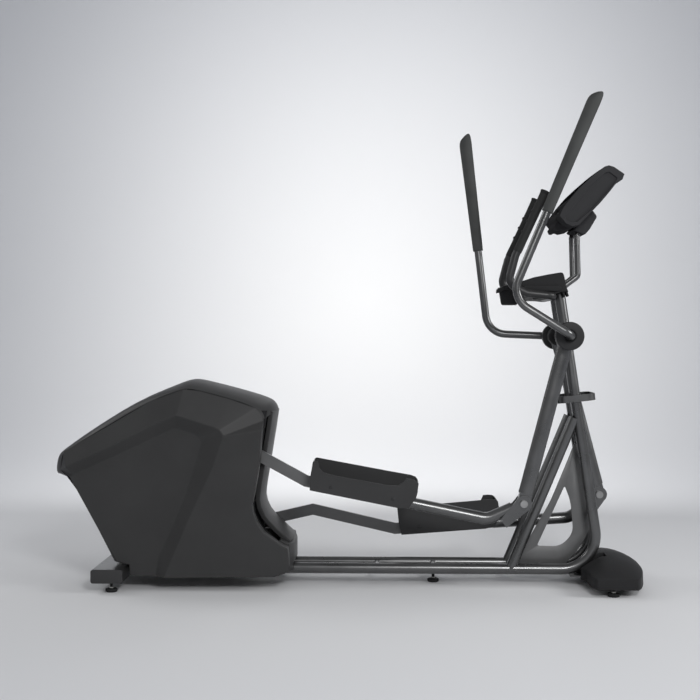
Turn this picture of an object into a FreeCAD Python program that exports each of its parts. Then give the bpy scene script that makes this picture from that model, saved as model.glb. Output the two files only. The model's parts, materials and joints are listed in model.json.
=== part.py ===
import FreeCAD, Part
import Sketcher
import math
import os
from FreeCAD import Vector, Placement, Rotation

# Rear-drive elliptical trainer. +X is the way the user faces, -Y is the user's right, +Z is up.
# All lengths are millimetres. Angles grow from +X towards +Z, seen from the right-hand side.

doc = FreeCAD.newDocument("elliptical_trainer")
sheet = doc.addObject("Spreadsheet::Sheet", "Dims")

sizes = {
    "rail_radius": 19, "rail_wall": 2, "rail_offset": 60, "rail_height": 58, "mast_bend": 120,
    "post_radius": 10, "post_wall": 1.5, "bar_radius": 14, "bar_wall": 1.5,
    "handle_radius": 14, "handle_wall": 1.8, "handle_offset": 240, "handle_bend": 78,
    "handle_reach": 245, "handle_rise": 17.3, "handle_lean": 8, "grip_start": 313, "grip_length": 427,
    "grip_low_radius": 16.5, "grip_top_radius": 23, "pivot_x": 781, "pivot_z": 881,
    "rocker_length": 600, "rocker_rest": 14.75, "arm_plane": 130,
    "crank_x": -575, "crank_z": 353, "crank_radius": 236, "crank_rest": 128.1,
    "coupler_length": 1369.69, "right_arm_rest": -10.004, "left_arm_rest": 5.593,
    "bar_depth": 40, "arm_tube_radius": 21, "arm_tube_wall": 2,
    "gusset_thickness": 5, "plate_thickness": 6, "cross_radius": 11,
    "stabiliser_half": 236, "stabiliser_wall": 2.5, "cap_length": 6,
    "shell_wall": 3, "shell_inner": 150, "shell_outer": 200, "slot_inner": 112,
    "pulley_radius": 150, "pulley_width": 14, "small_pulley_radius": 25, "belt_plane": 40,
    "flywheel_radius": 115, "flywheel_x": -400, "flywheel_z": 210,
    "axle_radius": 12.5, "pivot_axle_radius": 10, "pivot_tube_radius": 16, "bearing_radius": 26,
    "running_fit": 0.05,
    "pedal_width": 130, "pedal_plane": 150, "pedal_wall": 4, "console_half": 180,
    "foot_radius": 21, "foot_height": 11, "stem_radius": 5,
}
for row, (alias, number) in enumerate(sizes.items(), start=1):
    sheet.set("A%d" % row, str(number))
    sheet.setAlias("A%d" % row, alias)
doc.recompute()


def size(alias):
    return float(getattr(sheet, alias))


nodes = []
UP = Vector(0, 0, 1)
ACROSS = Vector(0, 1, 0)
SIDES = (("right", -1), ("left", 1))


def keep(obj, name, place=None):
    obj.Label = name
    if place is not None:
        obj.Placement = place
    nodes.append(obj)
    return obj


def feature(name, shape, place=None):
    obj = doc.addObject("Part::Feature", name)
    obj.Shape = shape
    return keep(obj, name, place)


def base_plane(body, role):
    return [o for o in body.Origin.OriginFeatures if o.Role == role][0]


def sketch_on(body, name, role="XZ_Plane"):
    sketch = body.newObject("Sketcher::SketchObject", name)
    sketch.AttachmentSupport = (base_plane(body, role), [""])
    sketch.MapMode = "FlatFace"
    return sketch


def bind(owner, prop, value):
    """Bind a property to a sheet expression, or set it when it is a plain number."""
    if isinstance(value, str):
        owner.setExpression(prop, value)
    else:
        setattr(owner, prop, value)


def circle(sketch, x, z, radius):
    start = radius if not isinstance(radius, str) else 10
    index = sketch.addGeometry(Part.Circle(Vector(x, z, 0), UP, start))
    if isinstance(radius, str):
        number = sketch.addConstraint(Sketcher.Constraint("Radius", index, start))
        sketch.setExpression("Constraints[%d]" % number, radius)


def closed(sketch, points):
    for here, there in zip(points, points[1:] + points[:1]):
        sketch.addGeometry(Part.LineSegment(Vector(*here, 0), Vector(*there, 0)))


def plate(name, points, thickness, y=0.0, holes=(), place=None, role="XZ_Plane"):
    """A flat piece: an outline padded both ways from its own plane, with round holes."""
    body = doc.addObject("PartDesign::Body", name)
    sketch = sketch_on(body, name + "_outline", role)
    closed(sketch, points)
    for x, z, radius in holes:
        circle(sketch, x, z, radius)
    doc.recompute()
    pad = body.newObject("PartDesign::Pad", name + "_pad")
    pad.Profile = sketch
    pad.Midplane = True
    bind(pad, "Length", thickness)
    doc.recompute()
    shift = Placement(Vector(0, y, 0), Rotation())
    return keep(body, name, place.multiply(shift) if place else shift)


def ring(name, x, z, y_mid, width, outer, inner=None, place=None):
    """A round piece on an axis along Y."""
    body = doc.addObject("PartDesign::Body", name)
    sketch = sketch_on(body, name + "_outline")
    circle(sketch, 0, 0, outer)
    if inner is not None:
        circle(sketch, 0, 0, inner)
    doc.recompute()
    pad = body.newObject("PartDesign::Pad", name + "_pad")
    pad.Profile = sketch
    pad.Midplane = True
    bind(pad, "Length", width)
    doc.recompute()
    shift = Placement(Vector(x, y_mid, z), Rotation())
    return keep(body, name, place.multiply(shift) if place else shift)


def rounded_path(points, bend):
    """Straight stretches joined by arcs of one bend radius, as a list of edges geometry."""
    pieces = []
    start = Vector(*points[0], 0)
    for before, corner, after in zip(points, points[1:], points[2:]):
        corner = Vector(*corner, 0)
        back = (Vector(*before, 0) - corner).normalize()
        ahead = (Vector(*after, 0) - corner).normalize()
        half = back.getAngle(ahead) / 2
        reach = bend / math.tan(half)
        arc_start = corner + back * reach
        arc_end = corner + ahead * reach
        middle_way = (back + ahead).normalize()
        middle = corner + middle_way * (bend / math.sin(half) - bend)
        pieces.append(Part.LineSegment(start, arc_start))
        pieces.append(Part.Arc(arc_start, middle, arc_end))
        start = arc_end
    pieces.append(Part.LineSegment(start, Vector(*points[-1], 0)))
    return pieces


def swept(points, bends, outer, inner):
    """A round tube along straight stretches in space, with one bend radius per inner corner."""
    edges = []
    start = points[0]
    for before, corner, after, bend in zip(points, points[1:], points[2:], bends):
        back = (before - corner).normalize()
        ahead = (after - corner).normalize()
        half = back.getAngle(ahead) / 2
        reach = bend / math.tan(half)
        middle = corner + (back + ahead).normalize() * (bend / math.sin(half) - bend)
        arc_start = corner + back * reach
        arc_end = corner + ahead * reach
        edges.append(Part.makeLine(start, arc_start))
        edges.append(Part.Arc(arc_start, middle, arc_end).toShape())
        start = arc_end
    edges.append(Part.makeLine(start, points[-1]))
    path = Part.Wire(edges)
    way = points[1] - points[0]
    solid = path.makePipeShell([Part.Wire(Part.makeCircle(outer, points[0], way))], True, False)
    if inner:
        solid = solid.cut(path.makePipeShell([Part.Wire(Part.makeCircle(inner, points[0], way))], True, False))
    return solid


def bent_tube(points, bend, y, outer, inner):
    """A bent round tube in a plane of constant Y, for pieces that are joined or grouped."""
    return swept([Vector(x, y, z) for x, z in points], [bend] * (len(points) - 2), outer, inner)


def tube(name, points, bend, radius, wall, y=0.0, place=None):
    """A bent round tube whose centre line lies in a plane of constant Y."""
    body = doc.addObject("PartDesign::Body", name)
    spine = sketch_on(body, name + "_spine")
    pieces = rounded_path(points, bend)
    for piece in pieces:
        spine.addGeometry(piece)
    doc.recompute()
    profile = body.newObject("Sketcher::SketchObject", name + "_profile")
    profile.AttachmentSupport = [(spine, "Edge1")]
    profile.MapMode = "NormalToEdge"
    profile.MapPathParameter = 0.0
    for expression in ("Dims." + radius, "Dims.%s - Dims.%s" % (radius, wall)):
        index = profile.addGeometry(Part.Circle(Vector(0, 0, 0), UP, 10))
        profile.addConstraint(Sketcher.Constraint("Coincident", index, 3, -1, 1))
        number = profile.addConstraint(Sketcher.Constraint("Radius", index, 10))
        profile.setExpression("Constraints[%d]" % number, expression)
    doc.recompute()
    pipe = body.newObject("PartDesign::AdditivePipe", name + "_pipe")
    pipe.Profile = profile
    pipe.Spine = (spine, ["Edge%d" % (k + 1) for k in range(len(pieces))])
    doc.recompute()
    shift = Placement(Vector(0, y, 0), Rotation())
    return keep(body, name, place.multiply(shift) if place else shift)


def rod(x, z, y0, y1, radius):
    """A plain solid cylinder along Y, for cutting or for joining."""
    return Part.makeCylinder(radius, y1 - y0, Vector(x, y0, z), ACROSS)


def prism(points, y0, y1):
    """An outline in the XZ plane extruded from y0 to y1."""
    wire = Part.makePolygon([Vector(x, y0, z) for x, z in points + points[:1]])
    return Part.Face(wire).extrude(Vector(0, y1 - y0, 0))


def inset(points, distance, y):
    wire = Part.makePolygon([Vector(x, y, z) for x, z in points + points[:1]])
    return Part.Face(wire).makeOffset2D(-distance)


def tilted(x, y, z, angle):
    """Placement of a moving group: turned by an angle seen from the right-hand side."""
    return Placement(Vector(x, y, z), Rotation(Vector(0, -1, 0), angle))


# ---- frame tubes -------------------------------------------------------------------------
rail_z = size("rail_height")
rail_r = size("rail_radius")
mast_slope = -0.1511
mast_foot_x = 909.9


def mast_x(z):
    return mast_foot_x + (z - rail_z) * mast_slope


mast_top_z = 1030.0
rail_points = [(-750, rail_z), (mast_foot_x, rail_z), (mast_x(mast_top_z), mast_top_z)]
mast_way = Vector(mast_slope, 0, 1).normalize()
pivot_x = size("pivot_x")
pivot_z = size("pivot_z")
pivot_tube_radius = size("pivot_tube_radius")

for side, sign in SIDES:
    y = sign * size("rail_offset")
    outer = tube(side + "_rail_and_mast", rail_points, size("mast_bend"), "rail_radius", "rail_wall", y)
    pocket_sketch = sketch_on(outer, side + "_pivot_hole")
    circle(pocket_sketch, pivot_x, pivot_z, pivot_tube_radius)
    doc.recompute()
    hole = outer.newObject("PartDesign::Pocket", side + "_pivot_pocket")
    hole.Profile = pocket_sketch
    hole.Type = 1
    hole.Midplane = True
    doc.recompute()

    start = Vector(588, y, 50)
    end = Vector(815, y, 592.5)
    way = end - start
    brace = Part.makeCylinder(rail_r, way.Length, start, way)
    brace = brace.cut(Part.makeCylinder(rail_r - size("rail_wall"), way.Length, start, way))
    rail_core = Part.makeCylinder(rail_r, 1200, Vector(0, y, rail_z), Vector(1, 0, 0))
    mast_core = Part.makeCylinder(rail_r, 900, Vector(mast_x(180), y, 180), mast_way)
    below = Part.makeBox(400, 60, 60, Vector(450, y - 30, 0))
    brace = brace.cut(rail_core).cut(mast_core).cut(below)
    solids = sorted(brace.Solids, key=lambda s: s.Volume)
    feature(side + "_mast_brace", solids[-1])

# Cross tubes join the two sides of the frame and carry the centre gusset.
cross_spots = [(mast_x(462), 462), (mast_x(250), 250), (700, rail_z), (120, rail_z), (-250, rail_z)]
cross_half = size("rail_offset") - rail_r
cross_r = size("cross_radius")
cross = [rod(x, z, -cross_half, cross_half, cross_r) for x, z in cross_spots]
foot_plate = Part.makeBox(70, 2 * cross_half, 5, Vector(286, -cross_half, 40))
foot_tube = rod(321, rail_z, -cross_half, cross_half, cross_r).cut(foot_plate)
feature("frame_cross_tubes", Part.makeCompound(cross + [foot_plate.fuse(foot_tube).removeSplitter()]))

gusset_points = [(640, 45), (775, 45), (840, 120), (880, 187), (898, 270), (868, 400), (858, 480),
                 (825, 499), (802, 440), (740, 290), (623, 85)]
window = [(695, 130), (760, 132), (806, 160), (817, 194), (808, 290), (790, 340)]
body = plate("mast_gusset", gusset_points, "Dims.gusset_thickness",
             holes=[(x, z, cross_r) for x, z in cross_spots[:3]])
window_sketch = sketch_on(body, "gusset_window")
closed(window_sketch, window)
doc.recompute()
cut = body.newObject("PartDesign::Pocket", "gusset_window_pocket")
cut.Profile = window_sketch
cut.Type = 1
cut.Midplane = True
doc.recompute()

# ---- stabilisers and feet ----------------------------------------------------------------
half = size("stabiliser_half")
wall = size("stabiliser_wall")
rear_box = [(-860, 34), (-750, 34), (-750, 81), (-860, 81)]
rear = plate("rear_stabiliser", rear_box, "2 * Dims.stabiliser_half")
rear_sketch = sketch_on(rear, "rear_hollow")
closed(rear_sketch, [(-860 + wall, 34 + wall), (-750 - wall, 34 + wall), (-750 - wall, 81 - wall),
                     (-860 + wall, 81 - wall)])
doc.recompute()
hollow = rear.newObject("PartDesign::Pocket", "rear_hollow_pocket")
hollow.Profile = rear_sketch
hollow.Type = 1
hollow.Midplane = True
doc.recompute()
cap_points = [(-861, 36), (-858, 33), (-752, 33), (-749, 36), (-749, 79), (-752, 82), (-858, 82), (-861, 79)]
caps = [prism(cap_points, min(sign * half, sign * (half + size("cap_length"))),
              max(sign * half, sign * (half + size("cap_length")))) for _, sign in SIDES]
feature("rear_stabiliser_caps", Part.makeCompound(caps))

front_box = [(905, 34), (965, 34), (965, 62), (905, 62)]
beam = prism(front_box, -250, 250).cut(prism([(907.5, 36.5), (962.5, 36.5), (962.5, 59.5), (907.5, 59.5)], -250, 250))
mount_points = [(800, -75), (905, -90), (905, 90), (800, 75)]
mount = Part.makePolygon([Vector(x, y, 34) for x, y in mount_points + mount_points[:1]])
mount_plate = Part.Face(mount).extrude(Vector(0, 0, 5))
feature("front_stabiliser", beam.fuse(mount_plate).removeSplitter())


def plan_shape(inset, low, high):
    """The bowed plan of the front cover, padded from low to high."""
    rear_edge = [(852 + inset, -264 + inset), (848 + inset, -120), (848 + inset, 120), (852 + inset, 264 - inset)]
    front = []
    for step in range(13):
        y = (264 - inset) * (1 - step / 6)
        front.append((1058 - inset - 52 * (y / 264) ** 2, y))
    points = [Vector(x, y, low) for x, y in rear_edge + front]
    return Part.Face(Part.makePolygon(points + points[:1])).extrude(Vector(0, 0, high - low))


cover_outer = plan_shape(0, 26, 68)
crown = prism([(870, 68), (1010, 68), (965, 112), (900, 112)], -150, 150)
cover_inner = plan_shape(3.5, 25, 64.5)
crown_inner = prism([(876, 64), (1004, 64), (962, 108), (903, 108)], -146, 146)
cover = cover_outer.fuse(crown).cut(cover_inner.fuse(crown_inner))
for side, sign in SIDES:
    y = sign * size("rail_offset")
    bend_space = Part.makeBox(70, 46, 90, Vector(840, y - 23, 20))
    upper_space = Part.makeBox(80, 46, 60, Vector(860, y - 23, 60))
    cover = cover.cut(bend_space).cut(upper_space)
cover = cover.cut(Part.makeBox(60, 200, 16, Vector(840, -100, 25)))
feature("front_stabiliser_cover", max(cover.Solids, key=lambda s: s.Volume))

foot_spots = [("right_rear", -795, -205, 34), ("left_rear", -795, 205, 34), ("centre", 321, 0, 40),
              ("right_front", 922, -235, 34), ("left_front", 922, 235, 34)]
for spot, x, y, top in foot_spots:
    foot = doc.addObject("PartDesign::Body", spot + "_foot")
    sketch = sketch_on(foot, spot + "_foot_profile")
    radius = size("foot_radius")
    height = size("foot_height")
    stem = size("stem_radius")
    stem_top = top - 0.4
    outline = [(0, 0), (radius - 1.5, 0), (radius, 2), (radius, height - 3), (radius - 5, height),
               (stem, height + 1), (stem, stem_top), (0, stem_top)]
    closed(sketch, outline)
    doc.recompute()
    turn = foot.newObject("PartDesign::Revolution", spot + "_foot_turn")
    turn.Profile = sketch
    turn.ReferenceAxis = (sketch, ["V_Axis"])
    turn.Angle = 360
    doc.recompute()
    keep(foot, spot + "_foot", Placement(Vector(x, y, 0), Rotation()))

# ---- mast hoop and main pivot ------------------------------------------------------------
hoop_body = doc.addObject("PartDesign::Body", "mast_hoop")
sketch = sketch_on(hoop_body, "mast_hoop_plan", "XY_Plane")
for grow in (0, 4):
    a, b = 66 + grow, 80.5 + grow
    c = 30 + grow
    corners = [(-a, -b + c), (-a + c, -b), (a - c, -b), (a, -b + c), (a, b - c), (a - c, b), (-a + c, b), (-a, b - c)]
    k = c * math.sqrt(0.5)
    centres = [(-a + c, -b + c), (a - c, -b + c), (a - c, b - c), (-a + c, b - c)]
    mids = [(-1, -1), (1, -1), (1, 1), (-1, 1)]
    for n in range(4):
        p, q = corners[2 * n], corners[2 * n + 1]
        mid = (centres[n][0] + mids[n][0] * k, centres[n][1] + mids[n][1] * k)
        sketch.addGeometry(Part.Arc(Vector(*p, 0), Vector(*mid, 0), Vector(*q, 0)))
        sketch.addGeometry(Part.LineSegment(Vector(*q, 0), Vector(*corners[(2 * n + 2) % 8], 0)))
doc.recompute()
pad = hoop_body.newObject("PartDesign::Pad", "mast_hoop_pad")
pad.Profile = sketch
pad.Length = 24
pad.Midplane = True
doc.recompute()
keep(hoop_body, "mast_hoop", tilted(820, 0, 662, 6))

ring("pivot_cross_tube", pivot_x, pivot_z, 0, 196, "Dims.pivot_tube_radius", "Dims.pivot_tube_radius - 2")
bushings = []
for side, sign in SIDES:
    low = min(sign * 74, sign * 98)
    bushing = rod(pivot_x, pivot_z, low, low + 24, pivot_tube_radius - 2)
    bushings.append(bushing.cut(rod(pivot_x, pivot_z, low - 1, low + 25, size("pivot_axle_radius"))))
feature("pivot_bushings", Part.makeCompound(bushings))
ring("pivot_axle", pivot_x, pivot_z, 0, 372, "Dims.pivot_axle_radius")

# ---- console post, tray and fixed handlebars -----------------------------------------------
top_x = mast_x(mast_top_z)
posts, plugs = [], []
bar_points = [(731, 1020), (640, 1030), (574, 1062), (600, 1160), (700, 1375)]
for side, sign in SIDES:
    y = sign * size("rail_offset")
    post_points = [(top_x + 1.6, mast_top_z - 10), (768, 1048), (827, 1092), (823, 1240), (856, 1276)]
    posts.append(bent_tube(post_points, 18, y, size("post_radius"), size("post_radius") - size("post_wall")))
    plug = Part.makeCylinder(rail_r - size("rail_wall"), 14, Vector(top_x, y, mast_top_z) - mast_way * 14, mast_way)
    plug = plug.fuse(Part.makeCylinder(rail_r, 3, Vector(top_x, y, mast_top_z), mast_way)).removeSplitter()
    plugs.append(plug.cut(bent_tube(post_points, 18, y, size("post_radius"), 0)))
right_bar = [Vector(x, -size("arm_plane"), z) for x, z in bar_points[::-1]]
left_bar = [Vector(x, size("arm_plane"), z) for x, z in bar_points]
feature("fixed_handlebar", swept(right_bar + left_bar, [40, 40, 30, 22, 22, 30, 40, 40], size("bar_radius"),
                                 size("bar_radius") - size("bar_wall")))
feature("console_posts", Part.makeCompound(posts))
feature("mast_top_plugs", Part.makeCompound(plugs))

tray_side = [(642, 1027), (660, 1008), (708, 1009), (739, 1026), (763, 1030), (787, 1020), (780, 1042),
             (766, 1101), (758, 1103), (618, 1074), (594, 1066)]
tray = prism(tray_side, -112, 112)
bowl = prism([(660, 1040), (700, 1036), (748, 1050), (752, 1115), (640, 1115), (634, 1052)], -104, 104)
cup_block = prism([(594, 1066), (546, 1050), (553, 1034), (563, 991), (608, 996), (642, 1027), (650, 1050)], -60, 60)
cup_hole = Part.makeCylinder(36, 90, Vector(592, 0, 1000), Vector(0, 0, 1))
tray = tray.cut(bowl).fuse(cup_block).cut(cup_hole)
for side, sign in SIDES:
    y = sign * size("rail_offset")
    tray = tray.cut(Part.makeCylinder(rail_r + 0.5, 200, Vector(mast_x(940), y, 940), mast_way))
    tray = tray.cut(Part.makeBox(60, 30, 100, Vector(752, y - 15, 1028)))
tray = tray.cut(rod(731, 1020, -130, 130, 14.5))
feature("accessory_tray", max(tray.Solids, key=lambda s: s.Volume))

sleeves, end_caps = [], []
for side, sign in SIDES:
    y = sign * size("arm_plane")
    start = Vector(606, y, 1172.9)
    end = Vector(700, y, 1375)
    way = end - start
    sleeve = Part.makeCylinder(16.5, way.Length, start, way)
    sleeve = sleeve.cut(Part.makeCylinder(size("bar_radius"), way.Length, start, way))
    sleeves.append(sleeve)
    end_cap = Part.makeCone(16.5, 18, 10, end, way).fuse(Part.makeCone(18, 13, 5, end + way.normalize() * 10, way))
    end_caps.append(end_cap.removeSplitter())
feature("pulse_grips", Part.makeCompound(sleeves))
feature("fixed_bar_caps", Part.makeCompound(end_caps))

# ---- console -------------------------------------------------------------------------------
console_half = size("console_half")
screen_low = Vector(742, 0, 1292)
screen_high = Vector(905, 0, 1459)
screen_way = (screen_high - screen_low).normalize()
screen_out = Vector(-screen_way.z, 0, screen_way.x)
back_points = [(751, 1284), (914, 1451), (925, 1462), (967, 1431), (957, 1414), (944, 1409), (859, 1312),
               (810, 1262), (770, 1262)]
back = prism(back_points, -console_half, console_half)
bezel_points = [(742, 1292), (905, 1459), (919, 1466), (924, 1462.5), (914, 1451), (751, 1284)]
bezel = prism(bezel_points, -console_half, console_half)


def on_screen(along, across, out, length, width, depth):
    """A box lying on the sloping console face: centre along/across it, from out inwards."""
    box = Part.makeBox(length, width, depth, Vector(-length / 2, -width / 2, -depth))
    place = screen_low + screen_way * along + ACROSS * across + screen_out * out
    box.Placement = Placement(place, Rotation(Vector(0, -1, 0), math.degrees(math.atan2(screen_way.z, screen_way.x))))
    return box


screen_size = (122, 224)
bezel = bezel.cut(on_screen(136, 0, 5, screen_size[0], screen_size[1], 9))
key_spots = [(40, across) for across in (-62, 0, 62)]
for along, across in key_spots:
    bezel = bezel.cut(on_screen(along, across, 5, 17, 31, 9))
pod_points = [(859, 1312), (810, 1262), (800, 1246), (825, 1227), (873, 1292)]
pod = prism(pod_points, -76, 76)
for side, sign in SIDES:
    y = sign * size("rail_offset")
    pod = pod.cut(Part.makeCylinder(10.4, 70, Vector(823, y, 1200), Vector(0, 0, 1)))
    way = Vector(33, 0, 36)
    pod = pod.cut(Part.makeCylinder(10.4, 70, Vector(823, y, 1240) - way.normalize() * 12, way))
back = back.fuse(max(pod.Solids, key=lambda s: s.Volume)).removeSplitter()
hollow = inset(back_points, 3, -console_half + 3).extrude(Vector(0, 2 * console_half - 6, 0))
feature("console_back", back.cut(hollow))
shelf = [(742, 1292), (714, 1279), (717, 1262), (713, 1251), (724, 1239), (764, 1243), (792, 1258), (796, 1262),
         (770, 1262), (751, 1284)]
feature("console_bezel", bezel.fuse(prism(shelf, -120, 120)).removeSplitter())
feature("console_screen", on_screen(136, 0, -1.2, screen_size[0] - 0.8, screen_size[1] - 0.8, 2.6))
for number, (along, across) in enumerate(key_spots, start=1):
    feature("console_key_%d" % number, on_screen(along, across, 1.6, 16, 30, 3.4))

# ---- drive housing -------------------------------------------------------------------------
side_outline = [(-957, 470), (-979, 417), (-944, 393), (-787, 96), (-742, 86), (-742, 51), (-648, 53),
                (-620, 47), (-231, 54), (-193, 67), (-180, 91), (-204, 153), (-266, 212), (-300, 263),
                (-307, 315), (-290, 384), (-273, 488), (-269, 592), (-276, 619), (-330, 645), (-480, 675),
                (-543, 698), (-600, 690), (-800, 575)]
middle_outline = [(-1038, 455), (-1053, 426), (-1057, 392), (-1042, 372), (-1005, 345), (-870, 96), (-742, 86),
                  (-742, 51), (-184, 56), (-184, 77), (-173, 136), (-177, 147), (-232, 198), (-272, 238),
                  (-287, 264), (-290, 319), (-263, 465), (-235, 611), (-246, 641), (-272, 655), (-420, 694),
                  (-547, 726), (-565, 724), (-805, 603)]
shell_wall = size("shell_wall")
shell_in = size("shell_inner")
shell_out = size("shell_outer")
middle_half = shell_in - 1.0


for side, sign in SIDES:
    inner_y = sign * shell_in
    outer_y = sign * shell_out
    block = prism(side_outline, min(inner_y, outer_y), max(inner_y, outer_y))
    cavity = inset(side_outline, shell_wall, inner_y).extrude(Vector(0, sign * (shell_out - shell_in - shell_wall), 0))
    feature(side + "_drive_shell", block.cut(cavity))

middle = prism(middle_outline, -middle_half, middle_half)
core = inset(middle_outline, shell_wall, -middle_half).extrude(Vector(0, 2 * middle_half, 0))
middle = middle.cut(core)
slot_inner = size("slot_inner")
for side, sign in SIDES:
    slot = Part.makeBox(200, middle_half - slot_inner + 1, 440,
                        Vector(-340, slot_inner if sign > 0 else -middle_half - 1, 176))
    middle = middle.cut(slot)
middle = middle.cut(Part.makeBox(700, 176, 60, Vector(-760, -88, 30)))
feature("drive_centre_cover", max(middle.Solids, key=lambda s: s.Volume))

# ---- drive inside the housing --------------------------------------------------------------
crank_x = size("crank_x")
crank_z = size("crank_z")
fly_x = size("flywheel_x")
fly_z = size("flywheel_z")
drive_points = [(-690, 77), (-330, 77), (-340, 240), (-370, 262), (-430, 262), (-530, 400), (-575, 412),
                (-625, 395), (-640, 350)]
plates, bearings = [], []
for side, sign in SIDES:
    y = sign * size("rail_offset")
    half_plate = size("plate_thickness") / 2
    side_plate = prism(drive_points, y - half_plate, y + half_plate)
    side_plate = side_plate.cut(rod(crank_x, crank_z, y - 9, y + 9, size("bearing_radius")))
    plates.append(side_plate.cut(rod(fly_x, fly_z, y - 9, y + 9, 8)))
    bearing = rod(crank_x, crank_z, y - 6, y + 6, size("bearing_radius"))
    bearings.append(bearing.cut(rod(crank_x, crank_z, y - 9, y + 9, size("axle_radius") + size("running_fit"))))
feature("drive_plates", Part.makeCompound(plates))
feature("crank_bearings", Part.makeCompound(bearings))
ring("flywheel_axle", fly_x, fly_z, 0, 132, 8.0)
wheel = rod(fly_x, fly_z, -27, 3, size("flywheel_radius"))
for low in (-27, -7):
    wheel = wheel.cut(rod(fly_x, fly_z, low, low + 10, 92).cut(rod(fly_x, fly_z, low, low + 10, 30)))
wheel = wheel.fuse(rod(fly_x, fly_z, 3, 47, size("small_pulley_radius"))).removeSplitter()
feature("flywheel", wheel.cut(rod(fly_x, fly_z, -60, 60, 8 + size("running_fit"))))
ring("crank_pulley", crank_x, crank_z, size("belt_plane"), "Dims.pulley_width", "Dims.pulley_radius",
     "Dims.axle_radius")
ring("crank_axle", crank_x, crank_z, 0, 214, "Dims.axle_radius")

belt_gap = 0.4
big = size("pulley_radius") + belt_gap
small = size("small_pulley_radius") + belt_gap
y0 = size("belt_plane") - 6
y1 = size("belt_plane") + 6


def belt_solid(extra):
    """The outline round both pulleys, as two discs and the strip between their tangents."""
    distance = math.hypot(fly_x - crank_x, fly_z - crank_z)
    aim = math.atan2(fly_z - crank_z, fly_x - crank_x)
    open_angle = math.acos((big - small) / distance)
    corners = []
    for turn in (open_angle, -open_angle):
        corners.append((crank_x + (big + extra) * math.cos(aim + turn), crank_z + (big + extra) * math.sin(aim + turn)))
        corners.append((fly_x + (small + extra) * math.cos(aim + turn), fly_z + (small + extra) * math.sin(aim + turn)))
    strip = prism([corners[0], corners[1], corners[3], corners[2]], y0, y1)
    return strip.fuse([rod(crank_x, crank_z, y0, y1, big + extra), rod(fly_x, fly_z, y0, y1, small + extra)])


feature("drive_belt", belt_solid(3).cut(belt_solid(0)))

brake_outer = rod(fly_x, fly_z, -28, 4, size("flywheel_radius") + 22)
brake = brake_outer.cut(rod(fly_x, fly_z, -30, 6, size("flywheel_radius") + 4))
wedge = prism([(fly_x, fly_z), (fly_x + 220, fly_z - 30), (fly_x + 150, fly_z - 190)], -28, 4)
brake = brake.common(wedge)
feature("brake_magnet_bracket", max(brake.Solids, key=lambda s: s.Volume))

crank_rest = size("crank_rest")
for side, sign in SIDES:
    turned = crank_rest if side == "right" else crank_rest + 180
    place = tilted(crank_x, 0, crank_z, turned)
    radius = size("crank_radius")
    arm_points = [(-26, -14), (-18, -26), (8, -30), (radius - 4, -21), (radius + 14, -14), (radius + 20, 0),
                  (radius + 14, 14), (radius - 4, 21), (8, 30), (-18, 26), (-26, 14)]
    low = min(sign * 95, sign * 107)
    arm = prism(arm_points, low, low + 12).cut(rod(0, 0, low - 1, low + 13, size("axle_radius")))
    pin = rod(radius, 0, min(sign * 95, sign * 122.8), max(sign * 95, sign * 122.8), 8)
    feature(side + "_crank_arm", arm.fuse(pin).removeSplitter(), place)

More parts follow.
